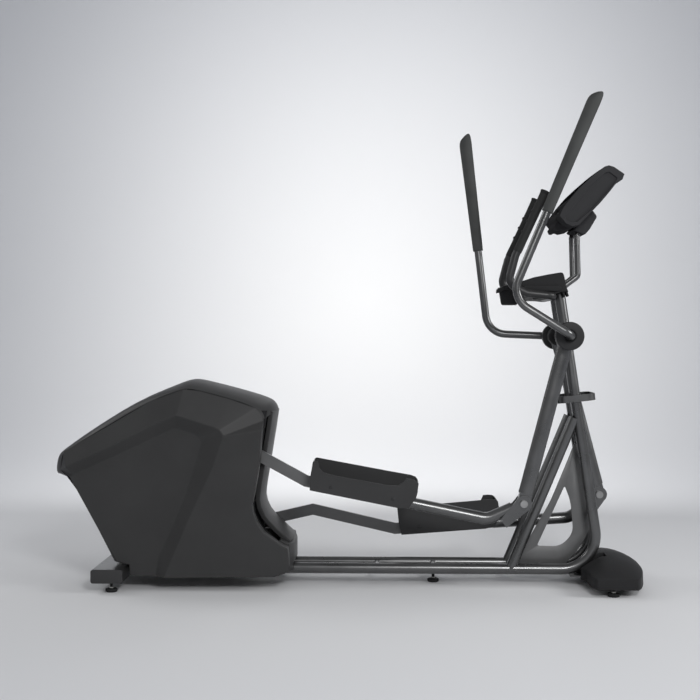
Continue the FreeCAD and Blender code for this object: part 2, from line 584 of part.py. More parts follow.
# ---- swing arms with moving handles ---------------------------------------------------------
rocker = size("rocker_length")
handle_y = size("handle_offset")
for side, sign in SIDES:
    rest = -size("rocker_rest") if side == "right" else size("rocker_rest")
    place = tilted(pivot_x, 0, pivot_z, rest)
    arm_y = sign * size("arm_plane")
    hub = rod(0, 0, min(sign * 102, sign * 158), max(sign * 102, sign * 158), 34)
    disc = rod(0, 0, min(sign * 158, sign * 190), max(sign * 158, sign * 190), 46)
    hub_shape = hub.fuse(disc).removeSplitter()
    hub_shape = hub_shape.cut(rod(0, 0, -200, 200, size("pivot_axle_radius") + size("running_fit")))
    socket_y = sign * 182
    hub_shape = hub_shape.cut(rod(0, 0, min(socket_y, sign * 192), max(socket_y, sign * 192), 17))
    oval = Part.Ellipse(Vector(0, 0, 0), 26, 14).toShape()
    oval_in = Part.Ellipse(Vector(0, 0, 0), 23.8, 11.8).toShape()
    drop = Vector(0, 0, -(rocker - 34))
    leg = Part.Face(Part.Wire(oval)).extrude(drop).cut(Part.Face(Part.Wire(oval_in)).extrude(drop))
    leg.Placement = Placement(Vector(0, arm_y, 0), Rotation())
    leg = leg.cut(rod(0, 0, -200, 200, 34))
    feature(side + "_pivot_hub", hub_shape, place)
    boss_rod = Part.makeCylinder(24, 30, Vector(0, arm_y - 15, -rocker), ACROSS)
    boss_rod = boss_rod.fuse(Part.makeBox(44, 26, 34, Vector(-22, arm_y - 13, -rocker + 4)))
    boss_rod = boss_rod.cut(rod(0, -rocker, arm_y - 20, arm_y + 20, 8 + size("running_fit")))
    boss_rod = boss_rod.cut(Part.makeBox(80, 60, 40, Vector(-40, arm_y - 30, -rocker + 34)))
    leg = max(leg.Solids, key=lambda s: s.Volume)
    feature(side + "_swing_tube", leg.fuse(boss_rod).removeSplitter(), place)

    rise = math.radians(180 - size("handle_rise"))
    lean = math.radians(90 - size("handle_lean"))
    corner = Vector(size("handle_reach") * math.cos(rise), sign * handle_y, size("handle_reach") * math.sin(rise))
    grip_way = Vector(math.cos(lean), 0, math.sin(lean))
    grip_foot = corner + grip_way * size("grip_start")
    tip = corner + grip_way * (size("grip_start") + size("grip_length"))
    bend = size("handle_bend")
    elbow = 30.0
    out_start = Vector(0, sign * 182.2, 0)
    out_corner = Vector(0, sign * handle_y, 0)
    shape = swept([out_start, out_corner, corner, tip - grip_way * 6], [elbow, bend], size("handle_radius"),
                  size("handle_radius") - size("handle_wall"))
    feature(side + "_handle_tube", shape, place)
    low_r = size("grip_low_radius")
    top_r = size("grip_top_radius")
    grip = Part.makeCone(low_r, top_r, size("grip_length") - 16, grip_foot, grip_way)
    dome_foot = grip_foot + grip_way * (size("grip_length") - 16)
    grip = grip.fuse(Part.makeCone(top_r, top_r - 8, 16, dome_foot, grip_way))
    grip = grip.cut(Part.makeCylinder(size("handle_radius"), size("grip_length") - 6, grip_foot, grip_way))
    feature(side + "_handle_grip", grip.removeSplitter(), place)

# ---- pedal arms -----------------------------------------------------------------------------
coupler = size("coupler_length")
depth = size("bar_depth")
bar_line = [(-coupler, 0), (-1053.6, 41.7), (-757, -57.8), (-397, -68)]
arm_tube_line = [(-396, -69), (-113, -77), (-24, -16.3)]


def band(line, width):
    """Outline of a flat bar of constant width along a bent line, square at both ends."""
    upper, lower = [], []
    count = len(line)
    for n, (x, z) in enumerate(line):
        before = line[max(n - 1, 0)]
        after = line[min(n + 1, count - 1)]
        if n in (0, count - 1):
            dx, dz = after[0] - before[0], after[1] - before[1]
            stretch = 1.0
        else:
            a = math.atan2(z - before[1], x - before[0])
            b = math.atan2(after[1] - z, after[0] - x)
            dx, dz = math.cos((a + b) / 2), math.sin((a + b) / 2)
            stretch = 1 / math.cos((b - a) / 2)
        length = math.hypot(dx, dz)
        nx, nz = -dz / length * stretch, dx / length * stretch
        upper.append((x + nx * width / 2, z + nz * width / 2))
        lower.append((x - nx * width / 2, z - nz * width / 2))
    return upper + lower[::-1]


for side, sign in SIDES:
    swing = -size("rocker_rest") if side == "right" else size("rocker_rest")
    low_x = pivot_x + rocker * math.sin(math.radians(swing))
    low_z = pivot_z - rocker * math.cos(math.radians(swing))
    place = tilted(low_x, 0, low_z, size(side + "_arm_rest"))
    arm_y = sign * size("arm_plane")
    bar = prism(band(bar_line, depth), arm_y - 6, arm_y + 6)
    bar = bar.fuse(rod(-coupler, 0, arm_y - 6, arm_y + 6, 26)).removeSplitter()
    bar = bar.cut(rod(-coupler, 0, arm_y - 10, arm_y + 10, 8.5))
    pedal_y = sign * size("pedal_plane")
    bar = bar.fuse(Part.makeBox(330, 90, 4, Vector(-720, pedal_y - 45, -46))).removeSplitter()
    feature(side + "_pedal_bar", bar, place)
    front = bent_tube(arm_tube_line, 70, arm_y, size("arm_tube_radius"), size("arm_tube_radius") - size("arm_tube_wall"))
    cheeks = []
    for edge in (-1, 1):
        low = min(edge * 16, edge * 22) + arm_y
        cheek = rod(0, 0, low, low + 6, 28)
        tail = prism([(-70, -68), (-44, -92), (24, -14), (0, 28), (-20, 20)], low, low + 6)
        cheek = cheek.fuse(tail).removeSplitter().cut(rod(0, 0, arm_y - 30, arm_y + 30, 8))
        cheeks.append(cheek)
    swing_space = rod(0, 0, arm_y - 15.6, arm_y + 15.6, 46)
    front = front.cut(swing_space).fuse(cheeks).removeSplitter()
    feature(side + "_arm_tube", front, place)
    bolt = rod(0, 0, arm_y - 26, arm_y + 26, 8)
    head = rod(0, 0, arm_y - 32, arm_y - 22, 13).fuse(rod(0, 0, arm_y + 22, arm_y + 32, 13))
    feature(side + "_pivot_bolt", bolt.fuse(head).removeSplitter(), place)
    w = size("pedal_width") / 2
    pw = size("pedal_wall")
    pedal_side = [(-736, -77), (-742, 24), (-722, 25), (-714, 10), (-700, -12), (-440, -12), (-425, 4), (-410, 22),
                  (-378, 20), (-372, 12), (-374, -48), (-392, -76), (-428, -83)]
    inner_side = [(-736, -77), (-742, 24), (-378, 20), (-372, 12), (-374, -48), (-392, -76), (-428, -83)]
    outer_lo = pedal_y + sign * (w - pw)
    outer_hi = pedal_y + sign * w
    inner_lo = pedal_y - sign * w
    inner_hi = pedal_y - sign * (w - pw)
    pedal = prism(pedal_side, min(outer_lo, outer_hi), max(outer_lo, outer_hi))
    pedal = pedal.fuse(prism(inner_side, min(inner_lo, inner_hi), max(inner_lo, inner_hi)))
    floor_points = [(-740, -42), (-374, -42), (-374, -37), (-740, -37)]
    pedal = pedal.fuse(prism(floor_points, pedal_y - w, pedal_y + w))
    toe = [(-374, -42), (-372, 12), (-378, 20), (-382, 20), (-380, -42)]
    pedal = pedal.fuse(prism(toe, pedal_y - w, pedal_y + w))
    heel = [(-740, -42), (-742, 0), (-736, 0), (-734, -42)]
    pedal = pedal.fuse(prism(heel, pedal_y - w, pedal_y + w)).removeSplitter()
    pedal = pedal.cut(prism(band(bar_line, depth + 1), arm_y - 6.5, arm_y + 6.5))
    feature(side + "_pedal_tray", pedal, place)

doc.recompute()
os.makedirs("parts", exist_ok=True)
for obj in nodes:
    for word in ("Invalid", "Error"):
        if word in obj.State:
            raise RuntimeError("%s is %s" % (obj.Label, obj.State))
    if obj.Shape.isNull() or not obj.Shape.isValid():
        raise RuntimeError("bad shape: " + obj.Label)
    box = obj.Shape.BoundBox
    print("%-26s x %7.1f..%7.1f y %7.1f..%7.1f z %7.1f..%7.1f solids %d vol %.0f" % (
        obj.Label, box.XMin, box.XMax, box.YMin, box.YMax, box.ZMin, box.ZMax,
        len(obj.Shape.Solids), obj.Shape.Volume / 1000))
    obj.Shape.exportStep("parts/%s.step" % obj.Label)
print("nodes", len(nodes))
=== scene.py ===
import json
import math

import bpy
from mathutils import Matrix, Vector


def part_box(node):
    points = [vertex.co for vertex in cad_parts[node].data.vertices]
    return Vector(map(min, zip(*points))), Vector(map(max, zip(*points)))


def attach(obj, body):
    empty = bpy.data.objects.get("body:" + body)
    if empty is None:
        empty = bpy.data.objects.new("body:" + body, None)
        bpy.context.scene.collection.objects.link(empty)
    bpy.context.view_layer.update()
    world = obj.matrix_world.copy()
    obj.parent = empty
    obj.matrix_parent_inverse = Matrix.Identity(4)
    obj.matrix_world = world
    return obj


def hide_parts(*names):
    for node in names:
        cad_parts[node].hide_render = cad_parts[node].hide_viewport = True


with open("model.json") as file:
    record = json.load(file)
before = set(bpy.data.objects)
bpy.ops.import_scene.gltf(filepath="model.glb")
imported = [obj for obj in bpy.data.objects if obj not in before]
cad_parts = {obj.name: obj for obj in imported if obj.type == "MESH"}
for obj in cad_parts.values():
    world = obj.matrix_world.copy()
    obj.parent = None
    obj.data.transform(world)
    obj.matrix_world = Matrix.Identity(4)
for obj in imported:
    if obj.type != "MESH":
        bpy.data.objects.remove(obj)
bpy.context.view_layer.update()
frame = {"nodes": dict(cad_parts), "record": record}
cadNodes = frame["nodes"]
mm = 0.001
sides = (("right", -1), ("left", 1))
# the swing pivot, the length down to the pedal arm, and the angles as shown, in mm and degrees
joints = {"pivotX": 781, "pivotZ": 881, "rocker": 600, "rest": 14.75,
          "rightArm": -10.004, "leftArm": 5.593}


def clearAll():
    if bpy.context.object and bpy.context.object.mode != "OBJECT":
        bpy.ops.object.mode_set(mode="OBJECT")
    bpy.ops.object.select_all(action="DESELECT")


def pickOnly(obj):
    clearAll()
    obj.select_set(True)
    bpy.context.view_layer.objects.active = obj


def applyModifier(obj, kind, **settings):
    pickOnly(obj)
    mod = obj.modifiers.new(kind.title(), kind)
    for key, value in settings.items():
        setattr(mod, key, value)
    bpy.ops.object.modifier_apply(modifier=mod.name)


def roundEdges(obj, width, segments=3, angle=30):
    applyModifier(obj, "BEVEL", width=width * mm, segments=segments, limit_method="ANGLE",
                  angle_limit=math.radians(angle))


def shadeByAngle(obj, angle=35):
    pickOnly(obj)
    bpy.ops.object.shade_smooth_by_angle(angle=math.radians(angle))


def crispFacets(obj, angle=40):
    # smooth rounded edges while the large flats keep their own shading
    shadeByAngle(obj, angle)
    applyModifier(obj, "WEIGHTED_NORMAL", mode="FACE_AREA", weight=100, keep_sharp=True)


def cleanNormals(obj):
    pickOnly(obj)
    bpy.ops.object.mode_set(mode="EDIT")
    bpy.ops.mesh.select_all(action="SELECT")
    bpy.ops.mesh.remove_doubles(threshold=0.00002)
    bpy.ops.mesh.normals_make_consistent(inside=False)
    bpy.ops.object.mode_set(mode="OBJECT")


def faceTowards(obj, way):
    # open sheets: turn the normals to one side before thickening
    cleanNormals(obj)
    total = sum((f.normal * f.area for f in obj.data.polygons), Vector())
    if total.dot(Vector(way)) < 0:
        obj.data.flip_normals()


def moveMesh(obj, matrix):
    obj.data.transform(matrix)
    obj.data.update()


def joinAll(first, others):
    pickOnly(first)
    for other in others:
        other.select_set(True)
    bpy.ops.object.join()
    return first


def carve(obj, cutter):
    applyModifier(obj, "BOOLEAN", operation="DIFFERENCE", object=cutter, solver="EXACT")
    bpy.data.objects.remove(cutter, do_unlink=True)


def slab(name, outline, low, high, across="Y"):
    # an outline drawn on a filled circle, then extruded along one axis
    bpy.ops.mesh.primitive_circle_add(vertices=len(outline), radius=0.1, fill_type="NGON")
    obj = bpy.context.object
    obj.name = name
    for vertex, (a, b) in zip(obj.data.vertices, outline):
        vertex.co = (a * mm, low * mm, b * mm) if across == "Y" else (a * mm, b * mm, low * mm)
    reach = (high - low) * mm
    bpy.ops.object.mode_set(mode="EDIT")
    bpy.ops.mesh.select_all(action="SELECT")
    bpy.ops.mesh.extrude_region_move(
        TRANSFORM_OT_translate={"value": (0, reach, 0) if across == "Y" else (0, 0, reach)})
    bpy.ops.object.mode_set(mode="OBJECT")
    cleanNormals(obj)
    return obj


def roundedRect(x0, z0, x1, z1, radius, steps=6):
    points = []
    for cx, cz, start in ((x1 - radius, z1 - radius, 0), (x0 + radius, z1 - radius, 90),
                          (x0 + radius, z0 + radius, 180), (x1 - radius, z0 + radius, 270)):
        for k in range(steps + 1):
            angle = math.radians(start + 90 * k / steps)
            points.append((cx + radius * math.cos(angle), cz + radius * math.sin(angle)))
    return points


def block(name, low, high):
    size = [b - a for a, b in zip(low, high)]
    middle = [(a + b) / 2 * mm for a, b in zip(low, high)]
    bpy.ops.mesh.primitive_cube_add(size=1, location=middle)
    obj = bpy.context.object
    obj.name = name
    obj.scale = [s * mm for s in size]
    bpy.ops.object.transform_apply(location=True, rotation=True, scale=True)
    return obj


def loft(name, rows):
    # a grid whose rows are laid through the given stations, in millimetres
    across = len(rows[0])
    bpy.ops.mesh.primitive_grid_add(x_subdivisions=across - 1, y_subdivisions=len(rows) - 1, size=1)
    obj = bpy.context.object
    obj.name = name
    points = [p for row in rows for p in row]
    for vertex, point in zip(obj.data.vertices, points):
        vertex.co = Vector(point) * mm
    return obj


def fromFaces(name, points, faces):
    mesh = bpy.data.meshes.new(name)
    mesh.from_pydata([Vector(p) * mm for p in points], [], faces)
    mesh.update()
    obj = bpy.data.objects.new(name, mesh)
    bpy.context.collection.objects.link(obj)
    return obj


def turned(name, profile, base, way, steps=48):
    # a profile of (distance, radius) pairs spun about an axis
    mesh = bpy.data.meshes.new(name)
    points = [(r * mm, 0, d * mm) for d, r in profile]
    mesh.from_pydata(points, [(k, k + 1) for k in range(len(points) - 1)], [])
    obj = bpy.data.objects.new(name, mesh)
    bpy.context.collection.objects.link(obj)
    applyModifier(obj, "SCREW", angle=math.tau, steps=steps, render_steps=steps, axis="Z",
                  use_merge_vertices=True, merge_threshold=0.00001)
    turn = Vector((0, 0, 1)).rotation_difference(Vector(way).normalized()).to_matrix().to_4x4()
    moveMesh(obj, Matrix.Translation(Vector(base) * mm) @ turn)
    cleanNormals(obj)
    return obj


def armTurn(degrees):
    # turn seen from the right-hand side, from +X towards +Z
    return Matrix.Rotation(math.radians(degrees), 4, Vector((0, -1, 0)))


def swingPlace(side):
    rest = -joints["rest"] if side == "right" else joints["rest"]
    pivot = Vector((joints["pivotX"], 0, joints["pivotZ"])) * mm
    return Matrix.Translation(pivot) @ armTurn(rest)


def armPlace(side):
    rest = math.radians(-joints["rest"] if side == "right" else joints["rest"])
    x = joints["pivotX"] + joints["rocker"] * math.sin(rest)
    z = joints["pivotZ"] - joints["rocker"] * math.cos(rest)
    return Matrix.Translation(Vector((x, 0, z)) * mm) @ armTurn(joints[side + "Arm"])


class Link:
    def __init__(self, maker, socket):
        self.maker = maker
        self.socket = socket

    def maths(self, operation, left, right):
        return self.maker.maths(operation, left, right)

    def __add__(self, other):
        return self.maths("ADD", self, other)

    def __radd__(self, other):
        return self.maths("ADD", other, self)

    def __sub__(self, other):
        return self.maths("SUBTRACT", self, other)

    def __rsub__(self, other):
        return self.maths("SUBTRACT", other, self)

    def __mul__(self, other):
        return self.maths("MULTIPLY", self, other)

    def __rmul__(self, other):
        return self.maths("MULTIPLY", other, self)

    def __pow__(self, other):
        return self.maths("POWER", self, other)

    def __rpow__(self, other):
        return self.maths("POWER", other, self)


class Finish:
    def __init__(self, name):
        self.material = bpy.data.materials.new(name)
        self.material.use_nodes = True
        self.tree = self.material.node_tree
        self.tree.nodes.clear()
        self.output = self.tree.nodes.new("ShaderNodeOutputMaterial")
        self.shader = self.tree.nodes.new("ShaderNodeBsdfPrincipled")
        self.tree.links.new(self.shader.outputs[0], self.output.inputs[0])
        self.place = self.node("ShaderNodeTexCoord", {}, {}, "Object")

    def node(self, kind, settings, inputs, result=0):
        made = self.tree.nodes.new(kind)
        for key, value in settings.items():
            setattr(made, key, value)
        for key, value in inputs.items():
            self.feed(made.inputs[key], value)
        return Link(self, made.outputs[result])

    def feed(self, socket, value):
        if isinstance(value, Link):
            self.tree.links.new(value.socket, socket)
        else:
            socket.default_value = value

    def set(self, **values):
        names = {"color": "Base Color", "rough": "Roughness", "metal": "Metallic", "normal": "Normal",
                 "level": "Specular IOR Level"}
        for key, value in values.items():
            self.feed(self.shader.inputs[names[key]], value)
        return self.material

    def maths(self, operation, left, right):
        return self.node("ShaderNodeMath", {"operation": operation}, {0: left, 1: right})

    def noise(self, scale, detail=3.0, rough=0.5, vector=None):
        return self.node("ShaderNodeTexNoise", {}, {"Vector": vector or self.place, "Scale": scale,
                                                    "Detail": detail, "Roughness": rough})

    def ramp(self, value, low, high):
        return self.node("ShaderNodeMapRange", {}, {"Value": value, "From Min": low, "From Max": high})

    def mix(self, factor, first, second):
        return self.node("ShaderNodeMix", {"data_type": "RGBA"}, {0: factor, 6: first, 7: second}, 2)

    def bump(self, height, distance, strength=1.0):
        return self.node("ShaderNodeBump", {}, {"Height": height, "Distance": distance,
                                                "Strength": strength})


def shade(color, factor):
    return tuple(c * factor for c in color[:3]) + (1.0,)


def powderCoat(name, color, metal, rough):
    # sprayed metallic coat: fine flake, faint orange peel and slow patches
    f = Finish(name)
    flake = f.noise(2600, 2)
    peel = f.noise(420, 2)
    patch = f.noise(9, 3)
    tone = f.ramp(flake, 0.35, 0.7) * 0.5 + f.ramp(patch, 0.3, 0.7) * 0.5
    return f.set(color=f.mix(tone, shade(color, 0.82), shade(color, 1.18)),
                 rough=rough - 0.05 + f.ramp(patch, 0.3, 0.7) * 0.1, metal=metal,
                 normal=f.bump(peel * 0.6 + flake * 0.4, 0.00004, 0.3))


def mouldedPlastic(name, color, rough, grain=0.00012, scale=900, level=0.14):
    # spark-eroded grain with slow tone changes and rubbed patches
    f = Finish(name)
    pores = f.noise(scale, 3, 0.6)
    patch = f.noise(6, 4)
    tone = f.ramp(pores, 0.35, 0.65) * 0.35 + f.ramp(patch, 0.3, 0.7) * 0.65
    return f.set(color=f.mix(tone, shade(color, 0.9), shade(color, 1.1)),
                 rough=rough - 0.06 + f.ramp(patch, 0.25, 0.75) * 0.12, level=level,
                 normal=f.bump(pores, grain, 0.6))


def foamRubber(name, color):
    # closed-cell foam: round cells, pinholes and a dull skin
    f = Finish(name)
    cells = f.node("ShaderNodeTexVoronoi", {}, {"Vector": f.place, "Scale": 650.0})
    pinholes = f.noise(1500, 2)
    patch = f.noise(14, 3)
    tone = f.ramp(patch, 0.3, 0.7)
    height = f.ramp(cells, 0.0, 0.7) * 0.6 + pinholes * 0.4
    return f.set(color=f.mix(tone, shade(color, 0.85), shade(color, 1.15)), rough=0.7 + tone * 0.1,
                 level=0.3,
                 normal=f.bump(height, 0.0003, 0.55))


def turnedMetal(name, color, rough):
    # fine lathe lines round the piece and a little tarnish
    f = Finish(name)
    stretched = f.node("ShaderNodeMapping", {}, {"Vector": f.place, "Scale": (40, 1500, 40)})
    lines = f.noise(3, 4, 0.6, stretched)
    patch = f.noise(30, 3)
    tone = f.ramp(patch, 0.3, 0.7)
    return f.set(color=f.mix(tone, shade(color, 0.85), shade(color, 1.1)), metal=1.0,
                 rough=rough + lines * 0.12 + tone * 0.08, normal=f.bump(lines, 0.00003, 0.3))


def glossScreen(name, color):
    f = Finish(name)
    smear = f.noise(18, 4)
    dust = f.noise(700, 2)
    return f.set(color=f.mix(f.ramp(dust, 0.6, 0.8), shade(color, 1.0), shade(color, 1.6)),
                 rough=0.3 + f.ramp(smear, 0.35, 0.75) * 0.12, level=0.0)


# colour, then how metallic where it is a coat, then roughness; grain depth and scale come last
finishes = {
    "tube": ((0.145, 0.146, 0.147), 0.92, 0.3),
    "plate": ((0.15, 0.151, 0.152), 0.5, 0.4),
    "black": ((0.024, 0.024, 0.025), 0.1, 0.42),
    "shell": ((0.046, 0.046, 0.0465), 0.43),
    "console": ((0.045, 0.045, 0.047), 0.5),
    "pedal": ((0.046, 0.046, 0.047), 0.5, 0.0003, 520),
    "hub": ((0.032, 0.032, 0.033), 0.48),
    "trim": ((0.03, 0.03, 0.031), 0.45),
    "key": ((0.35, 0.36, 0.38), 0.4, 0.00005),
    "pulley": ((0.03, 0.03, 0.03), 0.5),
    "gripRubber": ((0.028, 0.028, 0.028), 0.6, 0.0003, 700),
    "footRubber": ((0.02, 0.02, 0.021), 0.7, 0.0003, 600),
    "foam": ((0.056, 0.058, 0.057),),
    "steel": ((0.34, 0.34, 0.34), 0.3),
    "zinc": ((0.5, 0.5, 0.48), 0.35),
    "bearing": ((0.5, 0.4, 0.22), 0.3),
    "castIron": ((0.05, 0.05, 0.05), 0.5),
    "screen": ((0.006, 0.006, 0.007),),
}
paintTube = powderCoat("gunmetal coat", *finishes["tube"])
paintPlate = powderCoat("grey plate coat", *finishes["plate"])
paintBlack = powderCoat("black coat", *finishes["black"])
plasticShell = mouldedPlastic("housing plastic", *finishes["shell"])
plasticConsole = mouldedPlastic("console plastic", *finishes["console"], level=0.0)
plasticPedal = mouldedPlastic("pedal plastic", *finishes["pedal"])
plasticHub = mouldedPlastic("hub plastic", *finishes["hub"])
plasticTrim = mouldedPlastic("trim plastic", *finishes["trim"], level=0.02)
plasticKey = mouldedPlastic("key plastic", *finishes["key"])
plasticPulley = mouldedPlastic("pulley plastic", *finishes["pulley"])
foamBlack = foamRubber("grip foam", *finishes["foam"])
rubberGrip = mouldedPlastic("grip rubber", *finishes["gripRubber"])
rubberFoot = mouldedPlastic("foot rubber", *finishes["footRubber"])
steelBright = turnedMetal("turned steel", *finishes["steel"])
steelZinc = turnedMetal("zinc steel", *finishes["zinc"])
brassBush = turnedMetal("bearing metal", *finishes["bearing"])
ironRim = turnedMetal("cast rim", *finishes["castIron"])
screenGloss = glossScreen("screen window", *finishes["screen"])
print("finishes ready")

# which finish each named material slot of the plain parts takes
slotFinish = {
    "gunmetal_paint": paintTube, "plate_paint": paintPlate, "black_paint": paintBlack,
    "cover_plastic": plasticTrim, "grip_rubber": rubberGrip, "console_plastic": plasticConsole,
    "display_glass": screenGloss, "shell_plastic": plasticShell, "bushing": brassBush,
    "cast_iron": ironRim, "belt_rubber": rubberFoot, "pulley_plastic": plasticPulley,
    "bracket_steel": steelZinc, "foot_rubber": rubberFoot, "foam_grip": foamBlack,
    "key_plastic": plasticKey, "pedal_plastic": plasticPedal, "hub_plastic": plasticHub,
    "steel": steelBright, "dark_steel": paintBlack,
}
for entry in frame["record"]["subparts"]:
    node = cadNodes[entry["node"]]
    if not node.material_slots:
        node.data.materials.append(None)
    for place in node.material_slots:
        place.material = slotFinish[entry["material_slot"]]
# inner drive parts take black paint as painted shade: where they show through the arm slots they read as
# the dark inside of the housing
for shadedInside in ("drive_plates", "brake_magnet_bracket", "flywheel"):
    for place in cadNodes[shadedInside].material_slots:
        place.material = paintBlack


def finishPiece(obj, name, material, body, slotName, *replaced):
    obj.name = name
    obj.data.name = name
    obj.data.materials.clear()
    obj.data.materials.append(material)
    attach(obj, body)
    if replaced:
        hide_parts(*replaced)
    return obj


# half widths of the housing at its rim, cap edge, ridge, sunk panel and crown, then its wall
housing = {
    "rim": 150, "capEdge": 158, "ridge": 203, "panel": 172, "crown": 158, "wall": 1.8,
    "roll": 3,  # how late the crown turns down to its edges
    "shoulder": 9, "shoulderRun": (-920, -640),  # fuller there, where the bar ends swing close under it
}


def makeSideShell(side, sign):
    h = housing
    cap = [(-984, 414), (-973, 481), (-843, 554), (-668, 656), (-553, 698), (-494, 691), (-389, 663),
           (-299, 632), (-280, 612)]
    ridge = [(-954, 429), (-800, 500), (-662, 570), (-573, 609), (-440, 567), (-421, 556), (-409, 537)]
    ridgeDown = [(-447, 427), (-489, 337), (-541, 223), (-604, 74), (-616, 46)]
    inner = [(-933, 400), (-794, 462), (-665, 522), (-578, 563), (-519, 543), (-498, 531), (-487, 512)]
    innerDown = [(-513, 427), (-540, 338), (-587, 221), (-638, 113), (-648, 47)]
    front = [(-273, 588), (-275, 558), (-278, 521), (-282, 458), (-292, 389), (-303, 330), (-310, 299),
             (-306, 271), (-292, 236), (-268, 202), (-223, 170), (-205, 158), (-187, 150), (-181, 91),
             (-195, 63), (-233, 51)]
    rear = [(-739, 48), (-742, 86), (-787, 95), (-949, 390)]
    points = []

    def put(pairs, y):
        first = len(points)
        points.extend((x, sign * y, z) for x, z in pairs)
        return list(range(first, len(points)))

    capIds = put(cap, h["capEdge"])
    ridgeIds = put(ridge, h["ridge"])
    downIds = put(ridgeDown, h["ridge"])
    innerIds = put(inner, h["panel"])
    innerDownIds = put(innerDown, h["panel"])
    frontIds = (put(front[:1], h["capEdge"] + 2) + put(front[1:2], h["ridge"] - 14)
                + put(front[2:], h["ridge"] - 5))
    rearIds = put(rear, h["panel"] - 1)
    capRim = put(cap, h["rim"])
    frontRim = put(front, h["rim"])
    bottomRim = put([ridgeDown[-1], innerDown[-1]] + rear, h["rim"])
    # cap, ridge, ridge down, panel edge, panel edge down, front and rear, in that order
    c, r, d, n, e, f, g = capIds, ridgeIds, downIds, innerIds, innerDownIds, frontIds, rearIds
    faces = [
        (c[0], c[1], r[0]), (c[1], c[2], r[1], r[0]), (c[2], c[3], r[2], r[1]), (c[3], c[4], r[3], r[2]),
        (c[4], c[5], c[6], r[4], r[3]), (c[6], c[7], r[5], r[4]),
        (c[7], c[8], f[0], r[6], r[5]),
        (r[6], f[0], f[1]), [r[6]] + f[1:] + [d[4], d[3], d[2], d[1], d[0]],
    ]
    for k in range(6):
        faces.append((r[k], r[k + 1], n[k + 1], n[k]))
    down = [r[6]] + d
    innerLine = [n[6]] + e
    for k in range(5):
        faces.append((down[k], down[k + 1], innerLine[k + 1], innerLine[k]))
    faces.append(n + e + g)
    faces.append((c[0], r[0], n[0], g[3]))
    loop = c + f + [d[4], e[4]] + g
    rim = capRim + frontRim + bottomRim
    count = len(loop)
    for k in range(count):
        faces.append((loop[k], loop[(k + 1) % count], rim[(k + 1) % count], rim[k]))
    faces.append(rim)
    obj = fromFaces(side + "_shell", points, faces)
    cleanNormals(obj)
    roundEdges(obj, 3.5, 3, 9)
    crispFacets(obj)
    return finishPiece(obj, side + "_side_shell", plasticShell, "frame", "shell_plastic",
                       side + "_drive_shell")


def makeCentreCover():
    h = housing
    # stations: edge of the cap, then the middle line, going over the top and down the front
    stations = [((-792, 93), (-800, 90)), ((-946, 390), (-957, 394)), ((-980, 404), (-1012, 386)),
                ((-983, 414), (-1027, 392)), ((-982, 440), (-1024, 432)), ((-978, 468), (-1015, 460)),
                ((-968, 481), (-1000, 474)), ((-905, 519), (-948, 508)), ((-843, 554), (-885, 552)),
                ((-755, 607), (-785, 617)), ((-668, 656), (-680, 674)), ((-590, 686), (-596, 708)),
                ((-556, 697), (-560, 722)), ((-538, 699), (-540, 727)), ((-515, 696), (-515, 726)),
                ((-470, 686), (-470, 715)), ((-389, 664), (-389, 695)), ((-330, 645), (-318, 675)),
                ((-297, 629), (-272, 660)), ((-284, 615), (-250, 648)), ((-278, 600), (-239, 630)),
                ((-276, 590), (-236, 616))]
    widths = (-1, -0.97, -0.9, -0.82, -0.6, -0.3, 0, 0.3, 0.6, 0.82, 0.9, 0.97, 1)
    rows = []
    for (ex, ez), (cx, cz) in stations:
        row = []
        for t in widths:
            w = abs(t) ** (h["shoulder"] if h["shoulderRun"][0] < ex < h["shoulderRun"][1] else h["roll"])
            row.append((cx + (ex - cx) * w, t * (h["crown"] + 1.0), cz + (ez - cz) * w + 0.6))
        rows.append(row)
    roof = loft("roof", rows)
    faceTowards(roof, (0, 0, 1))
    applyModifier(roof, "SUBSURF", levels=1)
    applyModifier(roof, "SOLIDIFY", thickness=h["wall"] * mm, offset=-1)
    roundEdges(roof, 1.0, 2, 40)
    # the strip between the arm slots, and the nose block under it
    strip = [(-236, 617), (-238, 604), (-244, 560), (-254, 500), (-262, 450), (-268, 410), (-277, 359),
             (-282, 325), (-283, 305), (-278, 280), (-264, 250), (-247, 229), (-225, 207), (-176, 162)]
    stripRows = []
    for x, z in strip:
        row = [(x - 9 * abs(t) ** 3, t * 113, z) for t in (-1, -0.94, -0.7, -0.35, 0, 0.35, 0.7, 0.94, 1)]
        stripRows.append(row)
    front = loft("front", stripRows)
    faceTowards(front, (1, 0, 0))
    applyModifier(front, "SOLIDIFY", thickness=16 * mm, offset=-1)
    roundEdges(front, 3, 3, 40)
    nosePlan = slab("nosePlan", [(-222, -152), (-200, -152), (-186, -140), (-176, -100), (-171, -60),
                                 (-171, 60), (-176, 100), (-186, 140), (-200, 152),
                                 (-222, 152)], 56, 168, "Z")
    slope = block("slope", (-260, -160, 146), (-150, 160, 200))
    for vertex in slope.data.vertices:
        if vertex.co.x < -0.2 and vertex.co.z < 0.16:
            vertex.co.z = 0.190
        elif vertex.co.z < 0.16:
            vertex.co.z = 0.140
    carve(nosePlan, slope)
    gap = block("gap", (-230, -84, 40), (-150, 84, 82))
    carve(nosePlan, gap)
    roundEdges(nosePlan, 3, 3, 25)
    cover = joinAll(roof, [front, nosePlan])
    crispFacets(cover)
    return finishPiece(cover, "centre_cover", plasticShell, "frame", "shell_plastic",
                       "drive_centre_cover")


